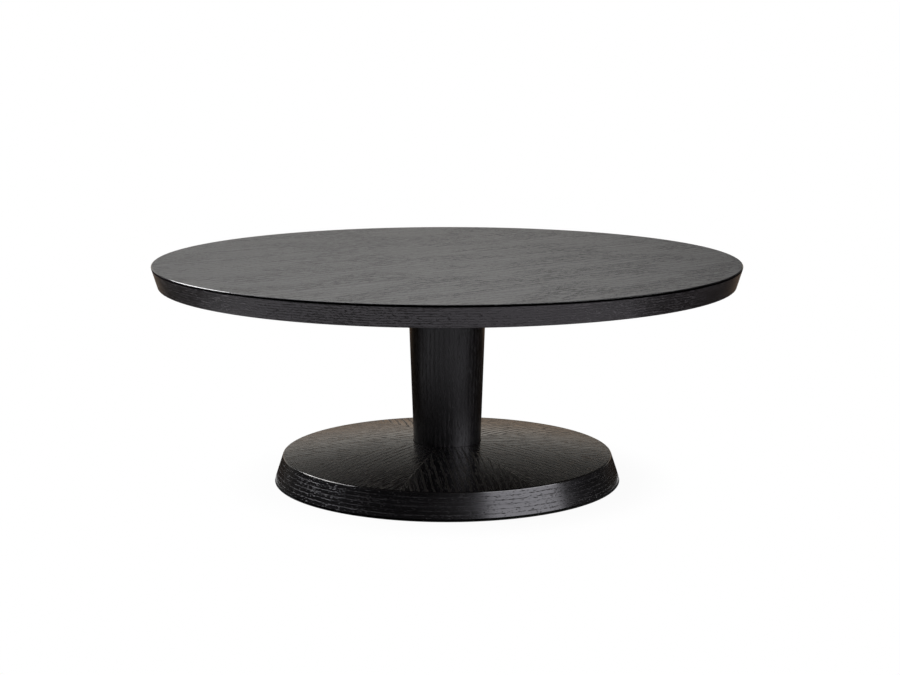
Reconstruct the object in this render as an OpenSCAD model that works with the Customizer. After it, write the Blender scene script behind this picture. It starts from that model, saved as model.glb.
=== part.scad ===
// Round pedestal coffee table: a bevelled veneered top, a tapered column and a domed base disc.
// Everything is turned about the Z axis, the floor is z = 0, and the front of the table is -Y.

/* [Table] */
// Height of the tabletop above the floor
table_h = 380; // [340:5:560]
// Thickness of the veneer on every face
veneer_t = 1; // [0.6:0.1:1.5]

/* [Tabletop] */
// Diameter of the upper face, measured to its sharp edge before the arris is rounded
top_d = 1001.5; // [800:0.5:1200]
// Thickness of the finished tabletop
top_t = 36; // [34:1:50]
// How far the edge leans in from the upper face to the underside
top_bevel = 11; // [4:1:25]
// Radius of the upper arris
top_arris_r = 2.2; // [0.5:0.1:2.5]
// Radius of the lower arris
top_under_arris_r = 1; // [0.5:0.1:2]
// Thickness of the upper core board
top_board_t = 18; // [15:1:20]

/* [Mounting plate] */
// Diameter of the steel plate let into the underside of the top
plate_d = 280; // [220:5:340]
// Thickness of the plate
plate_t = 5; // [4:0.5:8]
// Number of wood screws that hold it
plate_screws = 8; // [4:2:12]
// Distance of the screws from the plate's rim
plate_screw_inset = 20; // [12:1:30]
// Length of the plate's screws
plate_screw_l = 25; // [18:1:28]
// Diameter of the threaded hub on the plate
hub_d = 28; // [22:1:36]
// Height of the hub
hub_h = 12; // [9:1:14]
// Leg of the weld fillet between hub and plate
weld_leg = 2.5; // [1.5:0.5:4]

/* [Column] */
// Diameter under the tabletop
col_top_d = 135.8; // [120:0.2:170]
// Diameter at the foot
col_foot_d = 115.8; // [108:0.2:150]
// Bore of the turned core
col_bore_d = 78; // [60:1:80]
// Thickness of the plugs that close the bore
plug_t = 18; // [12:1:30]
// Diameter of the dowels at both ends of the column
dowel_d = 8; // [6:0.5:9]
// Number of dowels at each end
dowel_count = 4; // [2:2:8]
// Depth of a dowel in each piece that it joins
dowel_depth = 16; // [10:1:20]
// Depth of the upper dowels in the tabletop, above the plate
dowel_top_depth = 8; // [5:1:9]
// Chamfer at the ends of a dowel
dowel_chamfer = 1; // [0.5:0.25:1.5]

/* [Tie rod] */
// Diameter of the rod that clamps top, column and base together
rod_d = 12; // [10:0.5:16]
// Diameter of the washer under the base
washer_d = 50; // [36:1:54]
// Thickness of the washer
washer_t = 5; // [3:0.5:6]
// Nut, across its flats
nut_af = 19; // [18:0.5:24]
// Height of the nut
nut_h = 10; // [8:0.5:11]
// How far the rod stands out of the nut
rod_end = 2; // [1:0.5:3]
// Chamfer at the ends of the rod
rod_chamfer = 1; // [0.5:0.25:1.5]

/* [Base] */
// Diameter at the lower rim
base_d = 596; // [560:2:700]
// How far the side leans in from the lower rim to the upper one
base_bevel = 14; // [6:1:24]
// Height of the side
rim_h = 42; // [38:1:60]
// Rise of the domed face from its rim to its centre
dome_rise = 21; // [10:1:35]
// Radius of the edge between side and dome
base_edge_r = 3; // [1:0.25:3.25]
// Radius of the lower arris
base_arris_r = 1; // [0.5:0.1:1.5]
// Gap between the rim and the floor
rim_gap = 3; // [2:0.25:4]
// Thickness of the lower core board
base_board_t = 28; // [27:0.5:31]
// Number of tapered leaves in the dome's sunburst
leaves = 8; // [4:1:16]
// Direction of the first seam of the sunburst
first_seam = 29.5; // [0:0.5:45]
// Depth of the column's seat below the dome
seat_sink = 3; // [1.5:0.25:4]
// Shadow gap round the column's foot in its seat
seat_gap = 1; // [0.4:0.1:1.5]

/* [Ballast] */
// Diameter of the steel ballast plate
ballast_d = 420; // [320:5:460]
// Thickness of the ballast plate
ballast_t = 12; // [8:0.5:14]
// Hole for the nut and washer in the ballast plate
ballast_hole_d = 60; // [56:1:90]
// Number of screws that hold it
ballast_screws = 6; // [4:1:10]
// Distance of the screws from the ballast plate's rim
ballast_screw_inset = 20; // [12:1:30]
// Length of the ballast plate's screws
ballast_screw_l = 25; // [18:0.5:26]
// Height of the washer's seat above the lower board's underside
washer_seat_h = 18; // [17:0.5:20]

/* [Wood screws] */
// Diameter of the screw shanks
screw_d = 5; // [4:0.5:6]
// Diameter of the countersunk heads
screw_head_d = 9.5; // [8.5:0.5:12]
// Hexagon socket of the screws, across its flats
socket_af = 3; // [2.5:0.25:3.5]
// Depth of the socket
socket_depth = 2; // [1:0.25:2.5]

/* [Levelling glides] */
// Distance of the glides' centres from the lower rim
glide_inset = 36; // [32:1:44]
// Diameter of the pad
pad_d = 32; // [26:1:34]
// Height of the pad
pad_h = 5; // [4:0.25:6]
// Edge of the pad that is chamfered
pad_chamfer = 1; // [0.5:0.25:1.5]
// Hexagon of the stud, across its flats
glide_af = 13; // [12:0.5:17]
// Height of the hexagon
glide_hex_h = 4; // [3:0.25:5]
// Diameter of the stud
stud_d = 8; // [6:0.5:10]
// Length of the stud above its hexagon
stud_l = 20; // [18:0.5:21]
// Depth of the stud in its pad
stud_seat = 3; // [2:0.25:3.5]
// Chamfer at the ends of the stud
stud_chamfer = 0.75; // [0.5:0.25:1]
// Diameter of the threaded insert's body
insert_d = 13; // [12.5:0.5:16]
// Length of the insert's body
insert_l = 15; // [10:0.5:18]
// Diameter of the insert's collar
insert_collar_d = 20; // [18:0.5:24]
// Thickness of the insert's collar
insert_collar_t = 1.5; // [1:0.25:2]

/* [Clearances] */
// Glue line behind the veneer that is wrapped round an edge or the column
glue_line = 0.1; // [0.05:0.05:0.2]
// Gap round a piece that is let into another
let_in_gap = 0.5; // [0.2:0.1:1]
// Gap round a dowel, screw or insert in its hole
hole_gap = 0.1; // [0.05:0.05:0.2]
// Gap round a thread
thread_gap = 0.05; // [0.02:0.01:0.08]
// Gap round a glide's pad in its pocket
pad_gap = 2; // [1:0.25:3]
// Gap between a glide and its stop when it is screwed right in
stop_gap = 0.2; // [0.1:0.05:0.4]

/* [Hidden] */

stained_oak = [0.17, 0.16, 0.16];
raw_board = [0.70, 0.58, 0.43];
raw_beech = [0.80, 0.66, 0.48];
black_steel = [0.12, 0.12, 0.13];
zinc = [0.72, 0.73, 0.75];
black_nylon = [0.06, 0.06, 0.06];

$fn = 120;
turn_fn = 240;   // steps round the large turned pieces
dome_fn = 1440;  // steps round the dome's great circle
arc_steps = 6;   // steps in a rounded arris
cut = 1;         // how far a cutting tool runs past the face it opens
corner_turn = 0.97;  // turned circle on a hexagon's end, as a share of its width across flats

// Levels of the tabletop
top_z = table_h;
under_z = top_z - top_t;
face_z = top_z - veneer_t;
upper_board_z = face_z - top_board_t;
lower_board_z = under_z + veneer_t;
plate_z = under_z + plate_t;

// Levels and radii of the base
base_board_z = rim_gap + veneer_t;
base_joint_z = base_board_z + base_board_t;
rim_z = rim_gap + rim_h;
rim_r = base_d / 2 - base_bevel;
dome_r = (rim_r * rim_r + dome_rise * dome_rise) / (2 * dome_rise);
dome_centre_z = rim_z + dome_rise - dome_r;
function dome_z(r) = dome_centre_z + sqrt(dome_r * dome_r - r * r);

// Column between its seat and the plate
col_foot_r = col_foot_d / 2;
col_top_r = col_top_d / 2;
seat_r = col_foot_r + seat_gap;
seat_z = dome_z(col_foot_r) - seat_sink;
col_h = under_z - seat_z;
dowel_circle_r = (col_foot_r - veneer_t + col_bore_d / 2) / 2;

// Rod, washer and nut
washer_seat_z = base_board_z + washer_seat_h;
washer_z = washer_seat_z - washer_t;
nut_z = washer_z - nut_h;
rod_foot_z = nut_z - rod_end;
rod_top_z = plate_z + hub_h;

// Levels of a glide that is screwed right in
hex_z = pad_h;
glide_stop_z = pad_h + glide_hex_h;
collar_z = glide_stop_z + stop_gap;
pocket_z = collar_z + insert_collar_t;
stud_top_z = glide_stop_z + stud_l;
pocket_r = pad_d / 2 + pad_gap;
glide_circle_r = base_d / 2 - glide_inset;

// Side faces of the top and of the base, at a height z
function top_side_r(z) = top_d / 2 - top_bevel * (top_z - z) / top_t;
function base_side_r(z) = base_d / 2 - base_bevel * (z - rim_gap) / rim_h;

// The same veneer, measured across its sloping face, is a little wider when measured level
top_skin = veneer_t / cos(atan(top_bevel / top_t));
base_skin = veneer_t / cos(atan(base_bevel / rim_h));

function unit(v) = v / norm(v);

// Points on the circle of radius r about c, from the direction a0 to the direction a1
function arc(c, r, a0, a1) =
    [for (i = [0 : arc_steps]) let (a = a0 + (a1 - a0) * i / arc_steps) c + r * [cos(a), sin(a)]];

// Corner b between the points a and c, rounded to the radius r, for a convex outline drawn anticlockwise
function rounded(a, b, c, r) =
    let (u = unit(a - b), v = unit(c - b),
         half = acos(u * v) / 2,
         centre = b + unit(u + v) * r / sin(half),
         first = b + u * r / tan(half) - centre,
         last = b + v * r / tan(half) - centre,
         a0 = atan2(first[1], first[0]))
    arc(centre, r, a0, a0 + 180 - 2 * half);

// Edge between the base's sloping side and its dome, tangent to both
side_low = [base_d / 2, rim_gap];
side_dir = unit([-base_bevel, rim_h]);
side_in = [-side_dir[1], side_dir[0]];
from_dome = side_low + base_edge_r * side_in - [0, dome_centre_z];
along = from_dome * side_dir;
reach = sqrt(along * along - from_dome * from_dome + pow(dome_r - base_edge_r, 2)) - along;
edge_centre = side_low + base_edge_r * side_in + reach * side_dir;
edge_a0 = atan2(-side_in[1], -side_in[0]);
edge_a1 = atan2(edge_centre[1] - dome_centre_z, edge_centre[0]);

// Half sections, drawn with the radius along X and the height along Y

module band(z0, z1, r0, r1) translate([r0, z0]) square([r1 - r0, z1 - z0]);

module top_outline()
    polygon(concat(
        [[0, under_z]],
        rounded([0, under_z], [top_side_r(under_z), under_z], [top_side_r(top_z), top_z],
                top_under_arris_r),
        rounded([top_side_r(under_z), under_z], [top_side_r(top_z), top_z], [0, top_z],
                top_arris_r),
        [[0, top_z]]));

module top_inside(skin)
    polygon([[0, under_z - cut], [top_side_r(under_z - cut) - skin, under_z - cut],
             [top_side_r(top_z + cut) - skin, top_z + cut], [0, top_z + cut]]);

module top_layer(z0, z1, r0 = 0)
    rotate_extrude($fn = turn_fn) intersection() {
        top_outline();
        top_inside(top_skin + glue_line);
        band(z0, z1, r0, top_d);
    }

module dome_disc(inset) translate([0, dome_centre_z]) circle(r = dome_r - inset, $fn = dome_fn);

module base_outline()
    intersection() {
        polygon(concat(
            [[0, rim_gap]],
            rounded([0, rim_gap], side_low, edge_centre - base_edge_r * side_in, base_arris_r),
            arc(edge_centre, base_edge_r, edge_a0, edge_a1),
            [[0, rim_z + 3 * dome_rise]]));
        dome_disc(0);
    }

module base_inside(skin)
    polygon([[0, rim_gap - cut], [base_side_r(rim_gap - cut) - skin, rim_gap - cut],
             [base_side_r(rim_z + cut) - skin, rim_z + cut], [0, rim_z + 3 * dome_rise]]);

module base_layer(z0, z1, r0 = 0)
    rotate_extrude($fn = turn_fn) intersection() {
        base_outline();
        dome_disc(veneer_t);
        base_inside(base_skin + glue_line);
        band(z0, z1, r0, base_d);
    }

// Shapes that repeat

module ring_of(count, r)
    for (i = [0 : count - 1]) rotate(i * 360 / count) translate([r, 0, 0]) children();

module drill(z0, z1, r) translate([0, 0, z0]) cylinder(h = z1 - z0, r = r);

module tube(z0, z1, r_out, r_in)
    difference() {
        drill(z0, z1, r_out);
        drill(z0 - cut, z1 + cut, r_in);
    }

// Round bar with chamfered ends
module bar(z0, z1, r, chamfer)
    rotate_extrude() polygon([[0, z0], [r - chamfer, z0], [r, z0 + chamfer],
                              [r, z1 - chamfer], [r - chamfer, z1], [0, z1]]);

// Countersunk wood screw, driven upwards, with its head flush at z = 0; gap makes its hole instead
module wood_screw(l, gap = 0) {
    head_h = (screw_head_d - screw_d) / 2;
    translate([0, 0, -gap]) cylinder(h = head_h, r1 = screw_head_d / 2 + gap, r2 = screw_d / 2 + gap);
    cylinder(h = l + gap, r = screw_d / 2 + gap);
}

// The same screw with its hexagon socket
module socket_screw(l)
    difference() {
        wood_screw(l);
        translate([0, 0, -cut]) cylinder(h = socket_depth + cut, r = socket_af / 2 / cos(30), $fn = 6);
    }

module plate_screw_places()
    translate([0, 0, under_z])
        ring_of(plate_screws, plate_d / 2 - plate_screw_inset) children();

module ballast_screw_places()
    translate([0, 0, base_board_z])
        ring_of(ballast_screws, ballast_d / 2 - ballast_screw_inset) children();

module top_dowel_set(gap = 0)
    ring_of(dowel_count, dowel_circle_r)
        bar(under_z - dowel_depth - gap, plate_z + dowel_top_depth + gap, dowel_d / 2 + gap, dowel_chamfer);

module foot_dowel_set(gap = 0)
    ring_of(dowel_count, dowel_circle_r)
        bar(seat_z - dowel_depth - gap, seat_z + dowel_depth + gap, dowel_d / 2 + gap, dowel_chamfer);

module rod_hole() drill(0, top_z, rod_d / 2 + let_in_gap);

// Where the glides stand, counted from the right at the back and going round the table
module glide_place(i) rotate(45 + 90 * i) translate([glide_circle_r, 0, 0]) children();
module glide_places() for (i = [0 : 3]) glide_place(i) children();

// Tabletop

module tabletop_face_veneer()
    color(stained_oak) rotate_extrude($fn = turn_fn) intersection() {
        top_outline();
        band(face_z, top_z + cut, 0, top_d);
    }

module tabletop_edge_veneer()
    color(stained_oak) rotate_extrude($fn = turn_fn) difference() {
        intersection() {
            top_outline();
            band(under_z - cut, face_z, 0, top_d);
        }
        top_inside(top_skin);
    }

module top_cuts() {
    drill(under_z - cut, plate_z, plate_d / 2 + let_in_gap);
    drill(under_z - cut, rod_top_z + let_in_gap, hub_d / 2 + weld_leg + let_in_gap);
    plate_screw_places() wood_screw(plate_screw_l, hole_gap);
    top_dowel_set(hole_gap);
}

module tabletop_upper_board()
    color(raw_board) difference() {
        top_layer(upper_board_z, face_z);
        top_cuts();
    }

module tabletop_lower_board()
    color(raw_board) difference() {
        top_layer(lower_board_z, upper_board_z);
        top_cuts();
    }

module tabletop_backing_veneer()
    color(stained_oak) top_layer(under_z, lower_board_z, plate_d / 2 + let_in_gap);

// Steel plate under the top, with the hub that the rod screws into

module mounting_plate()
    color(black_steel) difference() {
        drill(under_z, plate_z, plate_d / 2);
        rod_hole();
        plate_screw_places() wood_screw(plate_screw_l, hole_gap);
        top_dowel_set(hole_gap);
    }

module mounting_plate_hub()
    color(black_steel) difference() {
        union() {
            drill(plate_z, rod_top_z, hub_d / 2);
            translate([0, 0, plate_z]) cylinder(h = weld_leg, r1 = hub_d / 2 + weld_leg, r2 = hub_d / 2);
        }
        drill(plate_z - cut, rod_top_z + cut, rod_d / 2 + thread_gap);
    }

module mounting_plate_screws()
    color(zinc) plate_screw_places() socket_screw(plate_screw_l);

// Column

// The column's taper, taken in by the depth d
module column_taper(d)
    translate([0, 0, seat_z])
        cylinder(h = col_h, r1 = col_foot_r - d, r2 = col_top_r - d, $fn = turn_fn);

module column_veneer()
    color(stained_oak) difference() {
        column_taper(0);
        column_taper(veneer_t);
    }

module column_core()
    color(raw_board) difference() {
        column_taper(veneer_t + glue_line);
        drill(seat_z - cut, under_z + cut, col_bore_d / 2);
        top_dowel_set(hole_gap);
        foot_dowel_set(hole_gap);
    }

module plug(z0) tube(z0, z0 + plug_t, col_bore_d / 2 - thread_gap, rod_d / 2 + let_in_gap);
module column_top_plug() color(raw_beech) plug(under_z - plug_t);
module column_foot_plug() color(raw_beech) plug(seat_z);

module column_top_dowels() color(zinc) top_dowel_set();
module column_foot_dowels() color(raw_beech) foot_dowel_set();

// Rod that clamps the table together, from the plate's hub down to the nut in the base

module tie_rod() color(zinc) bar(rod_foot_z, rod_top_z, rod_d / 2, rod_chamfer);

module tie_rod_washer() color(zinc) tube(washer_z, washer_seat_z, washer_d / 2, rod_d / 2 + let_in_gap);

// Hexagon with its corners turned down, as on a nut
module turned_hexagon(z0, h, af)
    intersection() {
        translate([0, 0, z0]) cylinder(h = h, r = af / 2 / cos(30), $fn = 6);
        bar(z0, z0 + h, af / 2 / cos(30), af / 2 / cos(30) - af / 2 * corner_turn);
    }

module tie_rod_nut()
    color(zinc) difference() {
        turned_hexagon(nut_z, nut_h, nut_af);
        drill(nut_z - cut, washer_z + cut, rod_d / 2 + thread_gap);
    }

// Base

// Sunburst on the dome: tapered leaves, each with its grain along its own centre line
module base_dome_veneer()
    color(stained_oak) for (i = [0 : leaves - 1])
        rotate(first_seam + i * 360 / leaves)
            rotate_extrude(angle = 360 / leaves, $fn = turn_fn) difference() {
                base_outline();
                dome_disc(veneer_t);
                band(0, top_z, 0, seat_r);
            }

module base_edge_veneer()
    color(stained_oak) rotate_extrude($fn = turn_fn) difference() {
        intersection() {
            base_outline();
            dome_disc(veneer_t);
        }
        base_inside(base_skin);
    }

module base_upper_board()
    color(raw_board) difference() {
        base_layer(base_joint_z, rim_z + dome_rise);
        drill(seat_z, rim_z + dome_rise + cut, seat_r);
        rod_hole();
        foot_dowel_set(hole_gap);
    }

module glide_pockets() {
    glide_places() {
        drill(0, pocket_z, pocket_r);
        drill(0, pocket_z + insert_l + hole_gap, insert_d / 2 + hole_gap);
        drill(0, stud_top_z + cut, stud_d / 2 + let_in_gap);
    }
}

module base_lower_board()
    color(raw_board) difference() {
        base_layer(base_board_z, base_joint_z);
        drill(0, base_board_z + ballast_t, ballast_d / 2 + let_in_gap);
        drill(0, washer_seat_z, washer_d / 2 + let_in_gap);
        rod_hole();
        foot_dowel_set(hole_gap);
        ballast_screw_places() wood_screw(ballast_screw_l, hole_gap);
        glide_pockets();
    }

module base_backing_veneer()
    color(stained_oak) difference() {
        base_layer(rim_gap, base_board_z, ballast_d / 2 + let_in_gap);
        glide_pockets();
    }

module ballast_plate()
    color(black_steel) difference() {
        tube(base_board_z, base_board_z + ballast_t, ballast_d / 2, ballast_hole_d / 2);
        ballast_screw_places() wood_screw(ballast_screw_l, hole_gap);
    }

module ballast_screws() color(zinc) ballast_screw_places() socket_screw(ballast_screw_l);

// Levelling glides, each a nylon pad on a threaded stud in an insert

module glide_inserts()
    color(zinc) glide_places() difference() {
        union() {
            drill(collar_z, pocket_z, insert_collar_d / 2);
            drill(collar_z, pocket_z + insert_l, insert_d / 2);
        }
        drill(0, pocket_z + insert_l + cut, stud_d / 2 + thread_gap);
    }

module glide_stud(i)
    color(zinc) glide_place(i) {
        bar(hex_z - stud_seat, stud_top_z, stud_d / 2, stud_chamfer);
        turned_hexagon(hex_z, glide_hex_h, glide_af);
    }

module glide_pad(i)
    color(black_nylon) glide_place(i) difference() {
        rotate_extrude() polygon([
            [0, 0], [pad_d / 2 - pad_chamfer, 0], [pad_d / 2, pad_chamfer],
            [pad_d / 2, pad_h - pad_chamfer], [pad_d / 2 - pad_chamfer, pad_h], [0, pad_h]]);
        drill(hex_z - stud_seat, pad_h + cut, stud_d / 2 + hole_gap);
    }

tabletop_face_veneer();
tabletop_edge_veneer();
tabletop_upper_board();
tabletop_lower_board();
tabletop_backing_veneer();
mounting_plate();
mounting_plate_hub();
mounting_plate_screws();
column_veneer();
column_core();
column_top_plug();
column_foot_plug();
column_top_dowels();
column_foot_dowels();
tie_rod();
tie_rod_washer();
tie_rod_nut();
base_dome_veneer();
base_edge_veneer();
base_upper_board();
base_lower_board();
base_backing_veneer();
ballast_plate();
ballast_screws();
glide_inserts();
glide_stud(0);  // glide_stud_1
glide_stud(1);  // glide_stud_2
glide_stud(2);  // glide_stud_3
glide_stud(3);  // glide_stud_4
glide_pad(0);  // glide_pad_1
glide_pad(1);  // glide_pad_2
glide_pad(2);  // glide_pad_3
glide_pad(3);  // glide_pad_4
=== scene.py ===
import math

import bmesh
import bpy
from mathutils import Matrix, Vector


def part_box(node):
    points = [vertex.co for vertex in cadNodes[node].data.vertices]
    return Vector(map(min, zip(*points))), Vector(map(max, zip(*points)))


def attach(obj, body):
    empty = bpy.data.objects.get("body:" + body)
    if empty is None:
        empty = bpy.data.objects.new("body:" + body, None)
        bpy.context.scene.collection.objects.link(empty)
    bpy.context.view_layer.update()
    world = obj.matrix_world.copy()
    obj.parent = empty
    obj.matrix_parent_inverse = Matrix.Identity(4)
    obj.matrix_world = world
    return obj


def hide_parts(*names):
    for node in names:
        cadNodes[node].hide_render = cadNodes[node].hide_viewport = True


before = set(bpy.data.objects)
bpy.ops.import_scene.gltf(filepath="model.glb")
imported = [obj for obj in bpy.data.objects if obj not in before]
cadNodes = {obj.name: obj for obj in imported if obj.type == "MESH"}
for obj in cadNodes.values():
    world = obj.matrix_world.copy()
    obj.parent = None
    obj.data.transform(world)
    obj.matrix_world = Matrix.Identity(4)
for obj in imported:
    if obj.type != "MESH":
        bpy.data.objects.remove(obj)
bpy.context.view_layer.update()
print("frame loaded:", len(cadNodes), "nodes")


# shader helpers: those that calculate return the socket with the result

def addNode(tree, kind, **settings):
    node = tree.nodes.new(kind)
    for name, value in settings.items():
        setattr(node, name, value)
    return node


def feed(tree, socket, value):
    if isinstance(value, bpy.types.NodeSocket):
        tree.links.new(value, socket)
    else:
        socket.default_value = value


def calc(tree, operation, *values, clamp=False):
    node = addNode(tree, "ShaderNodeMath", operation=operation, use_clamp=clamp)
    for socket, value in zip(node.inputs, values):
        feed(tree, socket, value)
    return node.outputs[0]


def plus(tree, first, second, clamp=False):
    return calc(tree, "ADD", first, second, clamp=clamp)


def minus(tree, first, second):
    return calc(tree, "SUBTRACT", first, second)


def times(tree, first, second):
    return calc(tree, "MULTIPLY", first, second)


def over(tree, first, second):
    return calc(tree, "DIVIDE", first, second)


def without(tree, share):
    # what a share leaves of the whole
    return minus(tree, 1.0, share)


def ease(tree, value, low, high, first=0.0, last=1.0):
    # goes smoothly from first to last while the value goes from low to high
    node = addNode(tree, "ShaderNodeMapRange", interpolation_type="SMOOTHSTEP")
    for name, number in (("Value", value), ("From Min", low), ("From Max", high),
                         ("To Min", first), ("To Max", last)):
        feed(tree, node.inputs[name], number)
    return node.outputs["Result"]


def pack(tree, x, y, z):
    node = addNode(tree, "ShaderNodeCombineXYZ")
    for socket, value in zip(node.inputs, (x, y, z)):
        feed(tree, socket, value)
    return node.outputs[0]


def unpack(tree, vector):
    node = addNode(tree, "ShaderNodeSeparateXYZ")
    feed(tree, node.inputs[0], vector)
    return node.outputs


def objectSpot(tree):
    return addNode(tree, "ShaderNodeTexCoord").outputs["Object"]


def axisDistance(tree, x, y):
    # distance from the z axis
    return calc(tree, "SQRT", plus(tree, times(tree, x, x), times(tree, y, y)))


def noise(tree, vector, scale, detail, roughness=0.5):
    node = addNode(tree, "ShaderNodeTexNoise", noise_dimensions="3D")
    feed(tree, node.inputs["Vector"], vector)
    feed(tree, node.inputs["Scale"], scale)
    feed(tree, node.inputs["Detail"], detail)
    feed(tree, node.inputs["Roughness"], roughness)
    return node.outputs["Fac"]


def streaks(tree, along, across, beyond, waves, detail, roughness=0.5):
    # noise with its own number of waves per metre along the grain and across it
    spot = pack(tree, times(tree, along, waves[0]), times(tree, across, waves[1]), beyond)
    return noise(tree, spot, 1.0, detail, roughness)


def blend(tree, share, first, second, kind="Color"):
    # a Mix node has one set of sockets for each kind of value, told apart by their identifiers
    node = addNode(tree, "ShaderNodeMix", data_type="RGBA" if kind == "Color" else "VECTOR")
    sockets = {socket.identifier: socket for socket in (*node.inputs, *node.outputs)}
    feed(tree, sockets["Factor_Float"], share)
    feed(tree, sockets["A_" + kind], first)
    feed(tree, sockets["B_" + kind], second)
    return sockets["Result_" + kind]


def scaleColour(tree, colour, share):
    node = addNode(tree, "ShaderNodeVectorMath", operation="SCALE")
    feed(tree, node.inputs[0], colour)
    feed(tree, node.inputs["Scale"], share)
    return node.outputs[0]


def blendShaders(tree, share, first, second):
    node = addNode(tree, "ShaderNodeMixShader")
    for socket, value in zip(node.inputs, (share, first, second)):
        feed(tree, socket, value)
    return node.outputs[0]


def socketKind(value):
    # None stands for a vector, four numbers for a colour
    if value is None:
        return "NodeSocketVector"
    return "NodeSocketColor" if isinstance(value, tuple) else "NodeSocketFloat"


def newGroup(name, inputs, outputs):
    # inputs are given with their defaults, outputs with their kinds
    group = bpy.data.node_groups.new(name, "ShaderNodeTree")
    for title, value in inputs.items():
        socket = group.interface.new_socket(name=title, in_out="INPUT", socket_type=socketKind(value))
        if value is not None:
            socket.default_value = value
    for title, kind in outputs.items():
        group.interface.new_socket(name=title, in_out="OUTPUT", socket_type="NodeSocket" + kind)
    start = addNode(group, "NodeGroupInput")
    end = addNode(group, "NodeGroupOutput")
    return group, start.outputs, end.inputs


def place(tree, group, **values):
    node = addNode(tree, "ShaderNodeGroup", node_tree=group)
    for name, value in values.items():
        feed(tree, node.inputs[name], value)
    return node.outputs


# coordinates that follow the veneer: x along the grain, y across it, z picks another sheet

def makeFlatSheet():
    group, given, result = newGroup("flatSheet", {"angle": 0.0}, {"sheet": "Vector"})
    turn = addNode(group, "ShaderNodeVectorRotate", rotation_type="Z_AXIS")
    feed(group, turn.inputs["Vector"], objectSpot(group))
    feed(group, turn.inputs["Angle"], times(group, given["angle"], -1.0))
    feed(group, result["sheet"], turn.outputs[0])
    return group


def makeWrappedSheet():
    # one sheet wrapped round the z axis, with its joint at the back
    group, given, result = newGroup("wrappedSheet", {"radius": 1.0, "upright": 0.0, "number": 0.0},
                                    {"sheet": "Vector"})
    x, y, z = unpack(group, objectSpot(group))
    girth = times(group, calc(group, "ARCTAN2", x, times(group, y, -1.0)), given["radius"])
    lying = pack(group, girth, z, given["number"])
    standing = pack(group, z, girth, given["number"])
    feed(group, result["sheet"], blend(group, given["upright"], lying, standing, "Vector"))
    return group


leafStock = {"along": 0.37, "beyond": 0.011}  # how far apart the leaves are cut from the veneer


def makeSunburst():
    # tapered leaves round the z axis, book-matched, with the grain along each leaf's middle line
    group, given, result = newGroup("sunburst", {"firstJoint": 0.0, "leaves": 8.0},
                                    {"sheet": "Vector", "joint": "Float"})
    x, y = unpack(group, objectSpot(group))[:2]
    radius = axisDistance(group, x, y)
    step = over(group, 2 * math.pi, given["leaves"])
    turn = minus(group, calc(group, "ARCTAN2", y, x), given["firstJoint"])
    count = over(group, plus(group, turn, 2 * math.pi), step)
    leaf = calc(group, "FLOOR", count)
    share = calc(group, "FRACT", count)
    off = times(group, minus(group, share, 0.5), step)
    mirror = without(group, times(group, calc(group, "MODULO", leaf, 2.0), 2.0))
    along = times(group, radius, calc(group, "COSINE", off))
    across = times(group, times(group, radius, calc(group, "SINE", off)), mirror)
    along = plus(group, along, times(group, leaf, leafStock["along"]))
    feed(group, result["sheet"], pack(group, along, across, times(group, leaf, leafStock["beyond"])))
    near = times(group, calc(group, "MINIMUM", share, without(group, share)), step)
    feed(group, result["joint"], times(group, radius, calc(group, "SINE", near)))
    return group


# finishes: each group takes a sheet or the object's own coordinates

finishOutputs = {"color": "Color", "roughness": "Float", "height": "Float"}

# what the grain of an oak piece may set, in metres or shares
oakInputs = {
    "sheet": None,
    "poreLength": 0.008, "poreWidth": 0.0007, "poreGap": 0.0013,
    "ringWidth": 0.009, "wave": 0.002,  # growth rings, and how far they stray
    "earlyPores": 0.5, "latePores": 0.1, "earlyBand": 0.28,  # pores in early and late wood
    "patches": 0.3, "fields": 0.0, "driftLength": 0.018, "driftWidth": 0.008,  # calm wood between the pores
    "satin": 0.35, "poreRough": 0.1, "ringRough": 0.06, "ringRelief": 0.15,  # what pores and rings add
    "stain": (0.0036, 0.0033, 0.0038, 1), "poreTone": (0.012, 0.011, 0.011, 1),
}

# the same in all oak: waves are per metre along and across the grain
oak = {
    "sheetStep": 40.0,  # how far apart two sheets lie in the noise
    "drift": {"waves": (7.0, 14.0), "detail": 1.0}, "driftShift": 5.0,  # slow bend of the rings, in waves
    "wander": {"waves": (60.0, 90.0), "detail": 0.0}, "wanderShift": 0.8,  # and a small quick one
    "firstRing": 90.0, "earlyCore": 0.36,  # number of the ring at the middle, and full part of early wood
    "calm": {"scale": 1.0, "detail": 1.0, "roughness": 0.6}, "calmLimits": (0.42, 0.56),
    "fields": {"waves": (7.0, 15.0), "detail": 1.0}, "fieldLimits": (0.42, 0.58),
    "fewestPores": 0.70, "poreRange": 0.4,  # noise above this limit is a pore
    "poreLayers": ((1.0, 0.0), (0.55, 31.7)),  # size of the pores, and place in the noise
    "grooveWidth": 1.5,  # where a pore's soft side ends, in half widths
    "lineStep": 5.37, "dashFade": 0.05,  # from one line of pores to the next, and how softly each ends
    "fibres": {"waves": (30.0, 1600.0), "detail": 2.0, "roughness": 0.6},
    "fibreTone": 0.6, "fibreRelief": 0.015,
    "broad": {"waves": (3.0, 60.0), "detail": 2.0}, "broadTone": 1.4,
    "unevenSatin": 0.12, "coat": 0.12,
}


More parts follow.
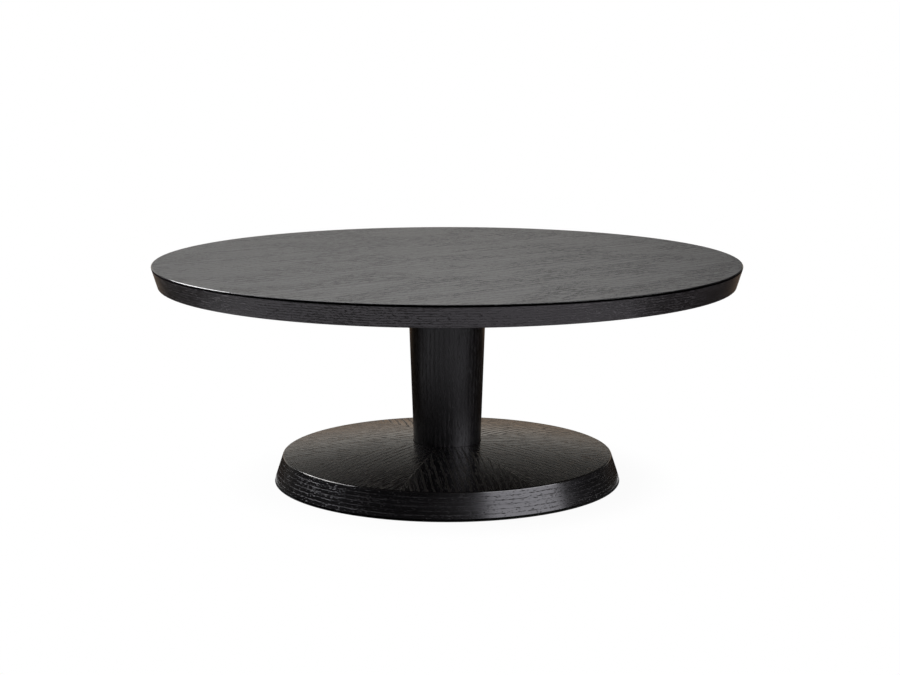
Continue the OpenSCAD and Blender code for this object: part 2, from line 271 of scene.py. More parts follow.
def makeOpenPoreOak():
    group, given, result = newGroup("openPoreOak", oakInputs, {**finishOutputs, "coat": "Float"})
    u, v, w = unpack(group, given["sheet"])
    beyond = times(group, w, oak["sheetStep"])
    # growth rings wander slowly along the sheet
    drift = streaks(group, u, v, beyond, **oak["drift"])
    wander = streaks(group, u, v, beyond, **oak["wander"])
    shift = plus(group, times(group, minus(group, drift, 0.5), oak["driftShift"]),
                 times(group, minus(group, wander, 0.5), oak["wanderShift"]))
    across = plus(group, v, times(group, shift, given["wave"]))
    ring = calc(group, "FRACT", plus(group, over(group, across, given["ringWidth"]), oak["firstRing"]))
    early = ease(group, calc(group, "ABSOLUTE", minus(group, ring, 0.5)),
                 times(group, given["earlyBand"], oak["earlyCore"]), given["earlyBand"], 1.0, 0.0)
    share = plus(group, given["latePores"],
                 times(group, early, minus(group, given["earlyPores"], given["latePores"])))
    # pores come in drifts, with calmer wood between them
    spot = pack(group, over(group, u, given["driftLength"]), over(group, across, given["driftWidth"]),
                beyond)
    drifts = noise(group, spot, **oak["calm"])
    calm = times(group, ease(group, drifts, *oak["calmLimits"], 1.0, 0.0), given["patches"])
    share = times(group, share, without(group, calm))
    # wide fields of the sheet stay almost without pores
    fields = streaks(group, u, v, beyond, **oak["fields"])
    bare = times(group, ease(group, fields, *oak["fieldLimits"]), given["fields"])
    share = times(group, share, without(group, bare))
    # noise values bunch round a half, so the share becomes a limit on both sides of it
    limit = minus(group, oak["fewestPores"], times(group, share, oak["poreRange"]))
    half = over(group, times(group, given["poreWidth"], 0.5), given["poreGap"])
    marks = []
    for size, lift in oak["poreLayers"]:
        # pores lie end to end in straight lines, each a slim groove
        line = over(group, across, times(group, given["poreGap"], size))
        number = plus(group, calc(group, "FLOOR", line), lift)
        off = calc(group, "ABSOLUTE", minus(group, calc(group, "FRACT", line), 0.5))
        groove = ease(group, off, 0.0, times(group, half, oak["grooveWidth"]), size, 0.0)
        spot = pack(group, over(group, u, times(group, given["poreLength"], size)),
                    times(group, number, oak["lineStep"]), plus(group, beyond, lift))
        found = noise(group, spot, scale=1.0, detail=0.0)
        dash = ease(group, found, limit, plus(group, limit, oak["dashFade"]))
        marks.append(times(group, groove, dash))
    pores = calc(group, "MAXIMUM", *marks)
    fibres = streaks(group, u, across, beyond, **oak["fibres"])
    broad = streaks(group, u, v, beyond, **oak["broad"])
    tone = plus(group, times(group, fibres, oak["fibreTone"]), times(group, broad, oak["broadTone"]))
    stained = scaleColour(group, given["stain"], tone)
    feed(group, result["color"], blend(group, pores, stained, given["poreTone"]))
    # each noise has a mean of a half, so the two less one leave the mean of the satin as it is
    uneven = times(group, minus(group, plus(group, fibres, broad), 1.0), oak["unevenSatin"])
    worn = plus(group, times(group, pores, given["poreRough"]), times(group, early, given["ringRough"]))
    feed(group, result["roughness"], plus(group, plus(group, worn, given["satin"]), uneven, clamp=True))
    feed(group, result["coat"], times(group, without(group, pores), oak["coat"]))
    relief = plus(group, times(group, early, given["ringRelief"]), pores)
    feed(group, result["height"], minus(group, times(group, fibres, oak["fibreRelief"]), relief))
    return group


pressedFibre = {
    "board": (0.26, 0.165, 0.09, 1), "depth": 0.0001,
    "fine": {"scale": 900.0, "detail": 3.0, "roughness": 0.7}, "fineTone": 0.5, "fineRough": 0.2,
    "broad": {"scale": 35.0, "detail": 2.0}, "broadTone": 0.35, "leastTone": 0.55, "leastRough": 0.72,
}


def makeFibreboard():
    # pressed fibre: a fine fleck with broad clouds under it
    look = pressedFibre
    group, given, result = newGroup("fibreboard", {"board": look["board"]}, finishOutputs)
    spot = objectSpot(group)
    fine = noise(group, spot, **look["fine"])
    broad = noise(group, spot, **look["broad"])
    tone = plus(group, times(group, fine, look["fineTone"]),
                plus(group, times(group, broad, look["broadTone"]), look["leastTone"]))
    feed(group, result["color"], scaleColour(group, given["board"], tone))
    feed(group, result["roughness"], plus(group, times(group, fine, look["fineRough"]), look["leastRough"]))
    feed(group, result["height"], fine)
    return group


beech = {
    "wood": (0.55, 0.36, 0.21, 1), "ray": (0.33, 0.18, 0.09, 1), "rough": 0.62, "depth": 0.00008,
    "rays": {"waves": (260.0, 1500.0), "detail": 0.0}, "rayStep": 1500.0, "rayLimits": (0.6, 0.68),
    "rayTone": 0.6, "rayGloss": 0.12, "rayRelief": 0.3,
    "rings": {"waves": (6.0, 160.0), "detail": 2.0}, "ringStep": 60.0, "ringTone": 0.5, "leastTone": 0.75,
}


def makeTurnedBeech():
    # pale beech with short darker ray flecks along the grain
    woodInputs = {"sheet": None, "wood": beech["wood"], "ray": beech["ray"]}
    group, given, result = newGroup("turnedBeech", woodInputs, finishOutputs)
    u, v, w = unpack(group, given["sheet"])
    rays = streaks(group, u, v, times(group, w, beech["rayStep"]), **beech["rays"])
    rings = streaks(group, u, v, times(group, w, beech["ringStep"]), **beech["rings"])
    fleck = ease(group, rays, *beech["rayLimits"])
    tone = plus(group, times(group, rings, beech["ringTone"]), beech["leastTone"])
    wood = scaleColour(group, given["wood"], tone)
    feed(group, result["color"], blend(group, times(group, fleck, beech["rayTone"]), wood, given["ray"]))
    feed(group, result["roughness"], minus(group, beech["rough"], times(group, fleck, beech["rayGloss"])))
    feed(group, result["height"], minus(group, rings, times(group, fleck, beech["rayRelief"])))
    return group


zincLook = {
    "plating": (0.60, 0.61, 0.63, 1), "warm": (0.63, 0.60, 0.52, 1), "dull": 0.28, "depth": 0.00002,
    "clouds": {"scale": 160.0, "detail": 3.0}, "warmLimits": (0.35, 0.65), "cloudRough": 0.18,
    "specks": {"scale": 1400.0, "detail": 0.0}, "speckLimits": (0.62, 0.72), "speckTone": 0.25,
    "speckRough": 0.2,
}


def makePlatedSteel():
    # zinc plating: cloudy, with small dull specks
    look = zincLook
    steelInputs = {"plating": look["plating"], "dull": look["dull"]}
    group, given, result = newGroup("platedSteel", steelInputs, finishOutputs)
    spot = objectSpot(group)
    cloud = noise(group, spot, **look["clouds"])
    speck = ease(group, noise(group, spot, **look["specks"]), *look["speckLimits"])
    tint = blend(group, ease(group, cloud, *look["warmLimits"]), given["plating"], look["warm"])
    tone = without(group, times(group, speck, look["speckTone"]))
    feed(group, result["color"], scaleColour(group, tint, tone))
    dull = plus(group, given["dull"], times(group, speck, look["speckRough"]))
    feed(group, result["roughness"], plus(group, times(group, cloud, look["cloudRough"]), dull))
    feed(group, result["height"], minus(group, cloud, speck))
    return group


blackPowder = {
    "paint": (0.011, 0.011, 0.012, 1), "depth": 0.00006, "leastTone": 0.5, "leastRough": 0.38,
    "peel": {"scale": 450.0, "detail": 1.0},
    "grit": {"scale": 2600.0, "detail": 1.0}, "gritRough": 0.2, "gritRelief": 0.3,
}


def makePowderCoat():
    # baked black powder: orange-peel waves under a finer grit
    look = blackPowder
    group, given, result = newGroup("powderCoat", {"paint": look["paint"]}, finishOutputs)
    spot = objectSpot(group)
    peel = noise(group, spot, **look["peel"])
    grit = noise(group, spot, **look["grit"])
    feed(group, result["color"], scaleColour(group, given["paint"], plus(group, grit, look["leastTone"])))
    feed(group, result["roughness"], plus(group, times(group, grit, look["gritRough"]), look["leastRough"]))
    feed(group, result["height"], plus(group, peel, times(group, grit, look["gritRelief"])))
    return group


blackNylon = {
    "nylon": (0.012, 0.012, 0.013, 1), "scuff": (0.055, 0.052, 0.050, 1), "depth": 0.00004,
    "sole": 0.0008,  # height to which the floor scuffs it
    "scratches": {"waves": (220.0, 1800.0), "detail": 1.0}, "scratchLimits": (0.45, 0.62), "scuffRough": 0.25,
    "grain": {"scale": 1500.0, "detail": 2.0}, "grainRough": 0.15, "leastRough": 0.42,
}


def makeMouldedNylon():
    # black nylon, satin from the mould and scuffed grey where it stands on the floor
    look = blackNylon
    nylonInputs = {"nylon": look["nylon"], "scuff": look["scuff"], "sole": look["sole"]}
    group, given, result = newGroup("mouldedNylon", nylonInputs, finishOutputs)
    spot = objectSpot(group)
    x, y, z = unpack(group, spot)
    grain = noise(group, spot, **look["grain"])
    scratch = streaks(group, x, y, 0.0, **look["scratches"])
    low = ease(group, z, 0.0, given["sole"], 1.0, 0.0)
    worn = times(group, low, ease(group, scratch, *look["scratchLimits"]))
    feed(group, result["color"], blend(group, worn, given["nylon"], given["scuff"]))
    satin = plus(group, times(group, grain, look["grainRough"]), look["leastRough"])
    feed(group, result["roughness"], plus(group, times(group, worn, look["scuffRough"]), satin))
    feed(group, result["height"], minus(group, grain, worn))
    return group


# how softly the painted shade line (a dark band for the shade along the edge) and the sanded arris begin, in
# metres, and what they do to the lacquer
shadeLineAndRubbing = {
    "footFade": 0.0006, "headFade": 0.0004, "rimFade": 0.0012, "polishFade": 0.0003,
    "shadeLineDark": 0.9, "shadeLineRough": 0.5, "polishRough": 0.1, "polishCoat": 0.5,
}


def makeShadeLineAndRubbedArris():
    group, given, result = newGroup(
        "shadeLineAndRubbedArris",
        {"shadeLineFoot": 0.0, "shadeLineHead": 0.0, "polishAbove": 0.0, "rimRadius": 1.0,
         "color": (0, 0, 0, 1), "roughness": 0.4, "coat": 0.1},
        {"color": "Color", "roughness": "Float", "coat": "Float", "shadeLineMetal": "Float", "grain": "Float"})
    x, y, z = unpack(group, objectSpot(group))
    radius = axisDistance(group, x, y)
    # painted shade: a dark line between two heights, standing for the shade along the edge, and the polish
    # near the rim above a third
    aboveShadeFoot = ease(group, z, given["shadeLineFoot"], plus(group, given["shadeLineFoot"], shadeLineAndRubbing["footFade"]))
    head = given["shadeLineHead"]
    underShadeHead = ease(group, z, minus(group, head, shadeLineAndRubbing["headFade"]), head, 1.0, 0.0)
    # painted shade: this mask darkens the colour and takes the reflection away
    line = times(group, aboveShadeFoot, underShadeHead)
    near = ease(group, radius, minus(group, given["rimRadius"], shadeLineAndRubbing["rimFade"]), given["rimRadius"])
    above = ease(group, z, given["polishAbove"], plus(group, given["polishAbove"], shadeLineAndRubbing["polishFade"]))
    polish = times(group, near, above)
    tone = without(group, times(group, line, shadeLineAndRubbing["shadeLineDark"]))
    feed(group, result["color"], scaleColour(group, given["color"], tone))
    matt = plus(group, given["roughness"], times(group, line, shadeLineAndRubbing["shadeLineRough"]), clamp=True)
    left = times(group, minus(group, matt, shadeLineAndRubbing["polishRough"]), without(group, polish))
    feed(group, result["roughness"], plus(group, left, shadeLineAndRubbing["polishRough"]))
    coat = times(group, given["coat"], without(group, line))
    feed(group, result["coat"], plus(group, coat, times(group, polish, shadeLineAndRubbing["polishCoat"])))
    feed(group, result["shadeLineMetal"], line)
    feed(group, result["grain"], without(group, calc(group, "MAXIMUM", line, polish)))
    return group


flatSheet = makeFlatSheet()
wrappedSheet = makeWrappedSheet()
sunburst = makeSunburst()
openPoreOak = makeOpenPoreOak()
fibreboard = makeFibreboard()
turnedBeech = makeTurnedBeech()
platedSteel = makePlatedSteel()
powderCoat = makePowderCoat()
mouldedNylon = makeMouldedNylon()
shadeLineAndRubbedArris = makeShadeLineAndRubbedArris()
print("shader groups made:", len(bpy.data.node_groups))


# materials

def newMaterial(name, sockets):
    material = bpy.data.materials.new(name)
    material.use_nodes = True
    tree = material.node_tree
    shader = tree.nodes["Principled BSDF"]
    for title, value in sockets.items():
        feed(tree, shader.inputs[title], value)
    return material, tree, shader


def bump(tree, shader, height, depth):
    node = addNode(tree, "ShaderNodeBump")
    node.inputs["Strength"].default_value = 1.0
    node.inputs["Distance"].default_value = depth
    feed(tree, node.inputs["Height"], height)
    feed(tree, shader.inputs["Normal"], node.outputs["Normal"])


def makeOak(name, look):
    lacquer = {"Coat Roughness": 0.2, "Coat IOR": 1.5, "Specular Tint": look["tint"],
               "Specular IOR Level": look["shine"]}
    material, tree, shader = newMaterial(name, lacquer)
    group, laid = look["sheet"]
    sheet = place(tree, group, **laid)
    wood = place(tree, openPoreOak, sheet=sheet["sheet"], **look["grain"])
    top = wood
    height = wood["height"]
    if look.get("arris"):
        # lacquer flows off the sanded arris and lies smooth, and below it a dark line of painted shade stands
        # for the shade along the edge
        top = place(tree, shadeLineAndRubbedArris, **look["arris"], color=wood["color"], roughness=wood["roughness"],
                    coat=wood["coat"])
        # black metal reflects nothing, which keeps the painted shade line black
        feed(tree, shader.inputs["Metallic"], top["shadeLineMetal"])
        height = times(tree, height, top["grain"])
    feed(tree, shader.inputs["Base Color"], top["color"])
    feed(tree, shader.inputs["Roughness"], top["roughness"])
    feed(tree, shader.inputs["Coat Weight"], top["coat"])
    if look.get("seam"):
        height = minus(tree, height, ease(tree, sheet["joint"], *look["seam"], 1.0, 0.0))
    bump(tree, shader, height, look["depth"])
    return material


def makePlain(name, group, depth, sheet=None, values=None, metallic=0.0):
    material, tree, shader = newMaterial(name, {"Metallic": metallic})
    given = dict(values or {})
    if sheet:
        given["sheet"] = place(tree, sheet[0], **sheet[1])["sheet"]
    look = place(tree, group, **given)
    feed(tree, shader.inputs["Base Color"], look["color"])
    feed(tree, shader.inputs["Roughness"], look["roughness"])
    bump(tree, shader, look["height"], depth)
    return material


def dress(material, *nodes):
    for node in nodes:
        piece = cadNodes[node]
        if not piece.material_slots:
            piece.data.materials.append(material)
        for slot in piece.material_slots:
            slot.material = material


# heights of the painted shade line and of the polish, in metres from the floor, and the radius of the rim:
# the dark line stands for the shade just under the top's arris and along the foot of the base's band
topArris = {"shadeLineFoot": 0.3753, "shadeLineHead": 0.3791, "polishAbove": 0.3789, "rimRadius": 0.4992}
baseArris = {"shadeLineFoot": 0.0, "shadeLineHead": 0.0044, "polishAbove": 0.0425, "rimRadius": 0.2835}
coolTint = (0.93, 0.91, 1.0, 1)

topFace = {
    "sheet": (flatSheet, {"angle": math.radians(38)}), "arris": topArris,
    "shine": 0.5, "tint": (0.93, 0.935, 0.965, 1), "depth": 0.0006,
    "grain": {"satin": 0.45, "poreLength": 0.007, "poreWidth": 0.0012, "poreGap": 0.0024, "poreRough": 0.2,
              "ringWidth": 0.017, "wave": 0.008, "ringRelief": 0.05, "earlyPores": 1.0, "latePores": 0.6,
              "patches": 1.0, "fields": 0.8, "driftLength": 0.018, "driftWidth": 0.006},
}
dress(makeOak("topFaceOak", topFace), "tabletop_face_veneer")

topBand = {
    "sheet": (wrappedSheet, {"radius": 0.495, "number": 0.3}), "arris": topArris,
    "shine": 0.66, "tint": (0.96, 0.90, 1.0, 1), "depth": 0.00038,
    "grain": {"satin": 0.36, "poreLength": 0.009, "poreWidth": 0.0007, "poreGap": 0.0014,
              "ringWidth": 0.0040, "wave": 0.0014, "ringRelief": 0.05, "earlyPores": 0.7, "latePores": 0.2},
}
dress(makeOak("topBandOak", topBand), "tabletop_edge_veneer")

topBack = {**topFace, "arris": None}
dress(makeOak("topBackOak", topBack), "tabletop_backing_veneer")

column = {
    "sheet": (wrappedSheet, {"radius": 0.062, "upright": 1.0}),
    "shine": 0.5, "tint": coolTint, "depth": 0.0002,
    "grain": {"stain": (0.0016, 0.0015, 0.0018, 1), "satin": 0.31,
              "poreLength": 0.012, "poreWidth": 0.0008, "poreGap": 0.0018,
              "ringWidth": 0.008, "wave": 0.0015, "ringRelief": 0.05, "earlyPores": 0.6, "latePores": 0.1},
}
dress(makeOak("columnOak", column), "column_veneer")

dome = {
    "sheet": (sunburst, {"firstJoint": math.radians(29.5)}), "arris": baseArris,
    "seam": (0.0001, 0.0006),  # metres from the joint at which its groove ends
    "shine": 0.32, "tint": (1.0, 0.93, 0.88, 1), "depth": 0.0003,
    "grain": {"poreTone": (0.008, 0.006, 0.005, 1), "satin": 0.2,
              "poreLength": 0.024, "poreWidth": 0.0009, "poreGap": 0.0017, "poreRough": 0.35,
              "ringWidth": 0.0120, "wave": 0.0004, "ringRelief": 0.1, "ringRough": 0.15,
              "earlyPores": 0.8, "latePores": 0.2, "earlyBand": 0.20,
              "patches": 0.4, "driftLength": 0.08, "driftWidth": 0.006},
}
dress(makeOak("domeOak", dome), "base_dome_veneer")

baseBand = {
    "sheet": (wrappedSheet, {"radius": 0.295, "number": 0.7}), "arris": baseArris,
    "shine": 0.5, "tint": coolTint, "depth": 0.00026,
    "grain": {"satin": 0.25, "poreLength": 0.007, "poreWidth": 0.0009, "poreGap": 0.0022, "poreRough": 0.4,
              "ringWidth": 0.0066, "wave": 0.0008, "ringRelief": 0.0,
              "earlyPores": 0.6, "latePores": 0.08, "earlyBand": 0.16,
              "patches": 0.6, "driftLength": 0.04, "driftWidth": 0.006},
}
dress(makeOak("baseBandOak", baseBand), "base_edge_veneer")

baseBack = {**topBack, "sheet": (flatSheet, {"angle": math.radians(90)})}
dress(makeOak("baseBackOak", baseBack), "base_backing_veneer")
print("veneers dressed")

plugSheet = (flatSheet, {"angle": math.radians(20)})
dowelSheet = (wrappedSheet, {"radius": 0.04, "upright": 1.0})
yellowZinc = {"plating": (0.62, 0.54, 0.34, 1), "dull": 0.32}
dress(makePlain("rawFibreboard", fibreboard, pressedFibre["depth"]),
      "tabletop_upper_board", "tabletop_lower_board", "base_upper_board", "base_lower_board", "column_core")
dress(makePlain("plugBeech", turnedBeech, beech["depth"], sheet=plugSheet),
      "column_top_plug", "column_foot_plug")
dress(makePlain("dowelBeech", turnedBeech, beech["depth"], sheet=dowelSheet), "column_foot_dowels")
dress(makePlain("blackPlate", powderCoat, blackPowder["depth"]),
      "mounting_plate", "mounting_plate_hub", "ballast_plate")
zinc = makePlain("zincPlating", platedSteel, zincLook["depth"], metallic=1.0)
dress(zinc, "mounting_plate_screws", "column_top_dowels", "tie_rod_washer", "tie_rod_nut", "ballast_screws",
      "tie_rod", "glide_stud_1", "glide_stud_2", "glide_stud_3", "glide_stud_4")
dress(makePlain("insertPlating", platedSteel, zincLook["depth"], values=yellowZinc, metallic=1.0),
      "glide_inserts")
dress(makePlain("nylonPad", mouldedNylon, blackNylon["depth"]),
      "glide_pad_1", "glide_pad_2", "glide_pad_3", "glide_pad_4")
print("boards, beech, steel and nylon dressed")


# threaded pieces that stand for the plain ones of the solids

threadShape = {"steepness": 1.3, "root": 0.15, "levelsPerTurn": 8, "sides": 32}  # flanks, root and fineness
# the bevel is the height at both faces that is cut finely enough for the cone
hexagonShape = {"sides": 96, "bevel": 0.001, "bevelStep": 0.0001, "cone": math.radians(30)}


def threadDepth(piece, z, turn):
    # how far the surface lies under the crest at this height and turn; the thread runs out at both ends
    deep = 0.0
    for start, stop in piece["threads"]:
        if start < z < stop:
            phase = ((z - start) / piece["pitch"] - turn) % 1.0
            rise = abs(2.0 * phase - 1.0) * threadShape["steepness"] - threadShape["root"]
            fade = min(1.0, (z - start) / piece["pitch"], (stop - z) / piece["pitch"])
            deep = piece["deep"] * (1.0 - min(1.0, max(0.0, rise))) * fade
    return deep


def addLathe(shape, centre, levels, radiusAt, sides):
    # rings of points at these levels, closed with a flat face at both ends
    rings = []
    for z in levels:
        ring = []
        for k in range(sides):
            turn = k / sides
            radius = radiusAt(z, turn)
            ring.append(shape.verts.new((centre[0] + radius * math.cos(2 * math.pi * turn),
                                         centre[1] + radius * math.sin(2 * math.pi * turn), z)))
        rings.append(ring)
    for low, high in zip(rings, rings[1:]):
        for k in range(sides):
            shape.faces.new((low[k], low[(k + 1) % sides], high[(k + 1) % sides], high[k]))
    shape.faces.new(list(reversed(rings[0])))
    shape.faces.new(rings[-1])


def spread(low, high, step):
    # even levels from low to high, no further apart than the step
    count = max(1, math.ceil((high - low) / step))
    return [low + (high - low) * k / count for k in range(count + 1)]


def makeThreaded(name, piece, node, body):
    low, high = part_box(node)
    centre = (low + high) / 2
    shape = bmesh.new()

    def barRadius(z, turn):
        end = min(z - low.z, high.z - z)
        return min(piece["radius"] - threadDepth(piece, z, turn), piece["radius"] - piece["chamfer"] + end)

    levels = {low.z, low.z + piece["chamfer"], high.z - piece["chamfer"], high.z}
    for start, stop in piece["threads"]:
        levels.update(spread(start, stop, piece["pitch"] / threadShape["levelsPerTurn"]))
    addLathe(shape, centre, sorted(levels), barRadius, threadShape["sides"])
    if "hexagon" in piece:
        hexagon = piece["hexagon"]

        def nutRadius(z, turn):
            # flat sides, with the corners turned down to a cone at both faces
            flat = hexagon["across"] / 2 / math.cos((turn * 6 % 1 - 0.5) * math.pi / 3)
            end = min(z - hexagon["from"], hexagon["to"] - z)
            cone = hexagon["across"] / 2 * hexagon["turned"] + end / math.tan(hexagonShape["cone"])
            return min(flat, cone)

        rows = spread(hexagon["from"], hexagon["from"] + hexagonShape["bevel"], hexagonShape["bevelStep"])
        rows += [hexagon["from"] + hexagon["to"] - z for z in reversed(rows)]
        addLathe(shape, centre, rows, nutRadius, hexagonShape["sides"])
    mesh = bpy.data.meshes.new(name)
    shape.to_mesh(mesh)
    shape.free()
    made = bpy.data.objects.new(name, mesh)
    bpy.context.scene.collection.objects.link(made)
    for face in mesh.polygons:
        face.use_smooth = False
    mesh.materials.append(zinc)
    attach(made, body)
    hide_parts(node)


# metres, with threads and hexagon by their heights above the floor; turned is the cone's share of the flats
glideStud = {
    "radius": 0.004, "chamfer": 0.0008, "pitch": 0.00125, "deep": 0.0006, "threads": [(0.0092, 0.0285)],
    "hexagon": {"across": 0.013, "from": 0.005, "to": 0.009, "turned": 0.95},
}
tieRod = {
    "radius": 0.006, "chamfer": 0.001, "pitch": 0.00175, "deep": 0.0009,
    "threads": [(0.0055, 0.05), (0.335, 0.3605)],
}
glideBodies = ("glide_back_right", "glide_back_left", "glide_front_left", "glide_front_right")
for number, body in enumerate(glideBodies, start=1):
    makeThreaded(f"threadedStud{number}", glideStud, f"glide_stud_{number}", body)
makeThreaded("threadedRod", tieRod, "tie_rod", "table")
print("threaded pieces made")


# floor and background, both white where they are seen

def seenRay(tree):
    # one for what the camera sees, also in the lacquer
    path = addNode(tree, "ShaderNodeLightPath")
    direct = calc(tree, "MAXIMUM", path.outputs["Is Camera Ray"], path.outputs["Is Glossy Ray"])
    return calc(tree, "MAXIMUM", direct, path.outputs["Is Transmission Ray"])


paleFloor = {
    "halfSize": 40.0,
    # painted shadow: near-black floor colour under the base, pale colour outside it
    "paintedShadow": (0.03, 0.03, 0.03, 1), "open": (0.85, 0.85, 0.85, 1),
    "rim": (0.2983, 0.2987), "rimWhite": 0.94,  # the base's outline, and how white the floor looks beside it
    "shadow": (0.30, 0.42), "shadowWhite": 0.06,  # where the faint shadow round it ends, and what that adds
    "underBase": (0.285, 0.29), "underLight": 0.6,  # the part under the base that lights the underside
}


def makeFloor():
    look = paleFloor
    half = look["halfSize"]
    mesh = bpy.data.meshes.new("floor")
    corners = [(-half, -half, 0), (half, -half, 0), (half, half, 0), (-half, half, 0)]
    mesh.from_pydata(corners, [], [(0, 1, 2, 3)])
    floor = bpy.data.objects.new("floor", mesh)
    bpy.context.scene.collection.objects.link(floor)
    material = bpy.data.materials.new("paleFloor")
    material.use_nodes = True
    tree = material.node_tree
    tree.nodes.remove(tree.nodes["Principled BSDF"])
    plain = addNode(tree, "ShaderNodeBsdfDiffuse")
    white = addNode(tree, "ShaderNodeEmission")
    radius = axisDistance(tree, *unpack(tree, objectSpot(tree))[:2])
    # painted shadow: the floor under the rim is coloured near black, as no light gets in there
    outside = ease(tree, radius, *look["rim"])
    feed(tree, plain.inputs["Color"], blend(tree, outside, look["paintedShadow"], look["open"]))
    bright = plus(tree, ease(tree, radius, *look["rim"], 0.0, look["rimWhite"]),
                  ease(tree, radius, *look["shadow"], 0.0, look["shadowWhite"]))
    top = blendShaders(tree, times(tree, seenRay(tree), bright), plain.outputs[0], white.outputs[0])
    # only for looking at the underside: the part under the base gives it light
    fill = addNode(tree, "ShaderNodeEmission")
    fill.inputs["Strength"].default_value = look["underLight"]
    cameraRay = addNode(tree, "ShaderNodeLightPath").outputs["Is Camera Ray"]
    below = times(tree, without(tree, cameraRay), ease(tree, radius, *look["underBase"], 1.0, 0.0))
    top = blendShaders(tree, below, top, fill.outputs[0])
    # and from below the floor is clear
    clear = addNode(tree, "ShaderNodeBsdfTransparent")
    facing = addNode(tree, "ShaderNodeNewGeometry").outputs["Backfacing"]
    surface = blendShaders(tree, facing, top, clear.outputs[0])
    feed(tree, tree.nodes["Material Output"].inputs["Surface"], surface)
    mesh.materials.append(material)


def makeWorld(level):
    # white where it is seen, and this level where it only lights
    world = bpy.data.worlds.new("studio")
    world.use_nodes = True
    tree = world.node_tree
    back = tree.nodes["Background"]
    back.inputs["Color"].default_value = (1, 1, 1, 1)
    feed(tree, back.inputs["Strength"], plus(tree, times(tree, seenRay(tree), 1.0 - level), level))
    bpy.context.scene.world = world


makeFloor()
makeWorld(level=0.12)
print("floor and background made")


# studio flags: they shape what the lacquer reflects, and nothing else sees them

def onlyReflected(piece):
    piece.visible_camera = False
    piece.visible_diffuse = False
    piece.visible_shadow = False
    piece.visible_transmission = False
    piece.visible_volume_scatter = False


def bearingSpot(radius, bearing, height):
    # bearing in degrees from the camera's side, positive to the right
    turn = math.radians(bearing)
    return (radius * math.sin(turn), -radius * math.cos(turn), height)


def makeFlag(name, rows, material, steps=24):
    # rows of points, each a (radius, height, first bearing, last bearing), skinned into one sheet
    mesh = bpy.data.meshes.new(name)
    points = []
    faces = []
    for radius, height, first, last in rows:
        for k in range(steps + 1):
            points.append(bearingSpot(radius, first + (last - first) * k / steps, height))
    for row in range(len(rows) - 1):
        for k in range(steps):
            corner = row * (steps + 1) + k
            faces.append((corner, corner + 1, corner + steps + 2, corner + steps + 1))
    mesh.from_pydata(points, [], faces)
    flag = bpy.data.objects.new(name, mesh)
    bpy.context.scene.collection.objects.link(flag)
    mesh.materials.append(material)
    onlyReflected(flag)


def glow(name, levelAndColour):
    material = bpy.data.materials.new(name)
    material.use_nodes = True
    tree = material.node_tree
    tree.nodes.remove(tree.nodes["Principled BSDF"])
    light = addNode(tree, "ShaderNodeEmission")
    strength, colour = levelAndColour(tree)
    feed(tree, light.inputs["Strength"], strength)
    feed(tree, light.inputs["Color"], colour)
    feed(tree, tree.nodes["Material Output"].inputs["Surface"], light.outputs[0])
    return material


# bearings in degrees from the back of the room, positive to the left, and heights in metres
room = {
    "rows": [(5.0, 0.0, -180, 180), (5.0, 4.5, -180, 180), (0.02, 4.6, -180, 180)],
    "pale": 0.86, "dark": 0.02,
    "leftEnd": (44, 58), "rightEnd": (-50, -39),  # where the pale wall ends on either side
    "rightFade": (-26, 2), "rightDim": 0.96, "rightFoot": (0.4, 0.9),  # not below what the base sees
    "leftFade": (0, 20), "leftDim": 0.72,
    "footFade": (0.5, 0.9), "footDim": 0.5,
    "headFade": (0.80, 1.8), "headDim": 0.2,
    "spillIn": (-18, 12), "spillOut": (30, 50), "spill": 0.1,  # beside the softbox, from the camera's side
    "lowColour": (1.0, 0.71, 0.49, 1), "highColour": (1.0, 0.985, 0.93, 1),
    "warmHeight": (0.0, 1.1), "warmWidth": (22, 40),  # warm low down behind the table only
}


def degreesFrom(tree, x, y):
    # bearing from the y axis
    return times(tree, calc(tree, "ARCTAN2", x, y), 180 / math.pi)


def wallLight(tree):
    x, y, z = unpack(tree, objectSpot(tree))
    degrees = degreesFrom(tree, times(tree, x, -1.0), y)
    level = times(tree, ease(tree, degrees, *room["leftEnd"], 1.0, 0.0),
                  ease(tree, degrees, *room["rightEnd"]))
    dimmer = times(tree, ease(tree, degrees, *room["rightFade"], room["rightDim"], 0.0),
                   ease(tree, z, *room["rightFoot"]))
    level = times(tree, level, without(tree, dimmer))
    level = times(tree, level, ease(tree, degrees, *room["leftFade"], 1.0, room["leftDim"]))
    level = times(tree, level, ease(tree, z, *room["footFade"], room["footDim"], 1.0))
    level = times(tree, level, ease(tree, z, *room["headFade"], 1.0, room["headDim"]))
    level = plus(tree, times(tree, level, room["pale"]), room["dark"])
    front = degreesFrom(tree, x, times(tree, y, -1.0))
    spill = times(tree, ease(tree, front, *room["spillIn"]), ease(tree, front, *room["spillOut"], 1.0, 0.0))
    level = plus(tree, level, times(tree, spill, room["spill"]))
    plain = calc(tree, "MAXIMUM", ease(tree, z, *room["warmHeight"]),
                 ease(tree, calc(tree, "ABSOLUTE", degrees), *room["warmWidth"]))
    return level, blend(tree, plain, room["lowColour"], room["highColour"])


cloth = {
    "height": 0.001,
    # inner and outer radius, first and last bearing
    # the inner sheet is painted shade: the table's shadow on the floor, as the lacquer reflects it
    "sheets": {"innerShadeSheet": (0.31, 0.73, -180, 180), "clothSides": (0.73, 1.0, 62, 268),
               "clothMiddle": (1.0, 1.3, 30, 292), "clothOuter": (1.3, 5.0, -180, 180)},
    "dark": 0.022, "pale": 0.35,
    "paleFrom": (1.3, 1.5), "paleWithin": (0.68, 0.76),  # radius, and cosine of the bearing from the back
}


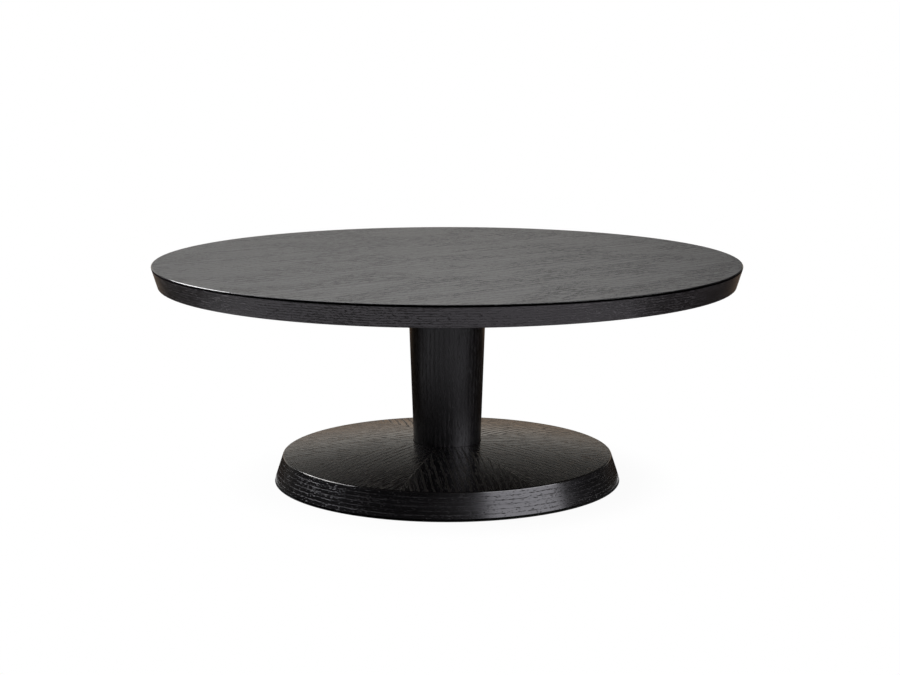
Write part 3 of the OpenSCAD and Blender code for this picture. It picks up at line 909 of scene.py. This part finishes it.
def clothLight(tree):
    x, y = unpack(tree, objectSpot(tree))[:2]
    radius = axisDistance(tree, x, y)
    # paler far behind the table, where only the ends of the base's band mirror it
    behind = times(tree, ease(tree, radius, *cloth["paleFrom"]),
                   ease(tree, over(tree, y, radius), *cloth["paleWithin"]))
    return plus(tree, times(tree, behind, cloth["pale"]), cloth["dark"]), room["lowColour"]


makeFlag("roomFlag", room["rows"], glow("studioWall", wallLight))
# dark floor cloth seen only in reflections; under and round the table it is painted shade
darkClothAndShade = glow("floorClothAndShade", clothLight)
for name, (inner, outer, first, last) in cloth["sheets"].items():
    rows = [(radius, cloth["height"], first, last) for radius in (inner, outer)]
    makeFlag(name, rows, darkClothAndShade)
print("studio flags placed")


# lamps: bearing in degrees from the camera's side, height in degrees above the floor, the rest in metres
lamps = {
    "softboxRight": {"bearing": 52.5, "height": 19, "distance": 3.2, "size": (3.0, 2.1), "radiance": 4.5},
    "stripLeft": {"bearing": -106, "height": 34, "distance": 3.2, "size": (3.0, 0.9), "radiance": 12.0},
    "softboxBack": {"bearing": -170, "height": 50, "distance": 3.2, "size": (3.0, 2.0), "radiance": 2.8},
}
lampAim = Vector((0, 0, 0.2))


def addLamp(name, bearing, height, distance, size, radiance):
    light = bpy.data.lights.new(name, "AREA")
    light.shape = "RECTANGLE"
    light.size = size[0]
    light.size_y = size[1]
    light.energy = radiance * math.pi * size[0] * size[1]
    lamp = bpy.data.objects.new(name, light)
    rise = math.radians(height)
    lamp.location = lampAim + distance * Vector(bearingSpot(math.cos(rise), bearing, math.sin(rise)))
    lamp.rotation_euler = (lampAim - lamp.location).to_track_quat("-Z", "Y").to_euler()
    lamp.visible_camera = False
    bpy.context.scene.collection.objects.link(lamp)


for name, lamp in lamps.items():
    addLamp(name, **lamp)

# the photo's viewpoint, fitted to the outlines of top, column and base
view = {"location": (0.0049, -3.1894, 0.7978), "tilt": 80.176, "lens": 75.31, "sensor": 36, "reach": 100}
camera = bpy.data.objects.new("camera", bpy.data.cameras.new("camera"))
camera.location = view["location"]
camera.rotation_euler = (math.radians(view["tilt"]), 0, 0)
camera.data.lens = view["lens"]
camera.data.sensor_width = view["sensor"]
camera.data.clip_end = view["reach"]
bpy.context.scene.collection.objects.link(camera)
bpy.context.scene.camera = camera
bpy.context.scene.view_settings.view_transform = "Standard"
print("lamps and camera placed")
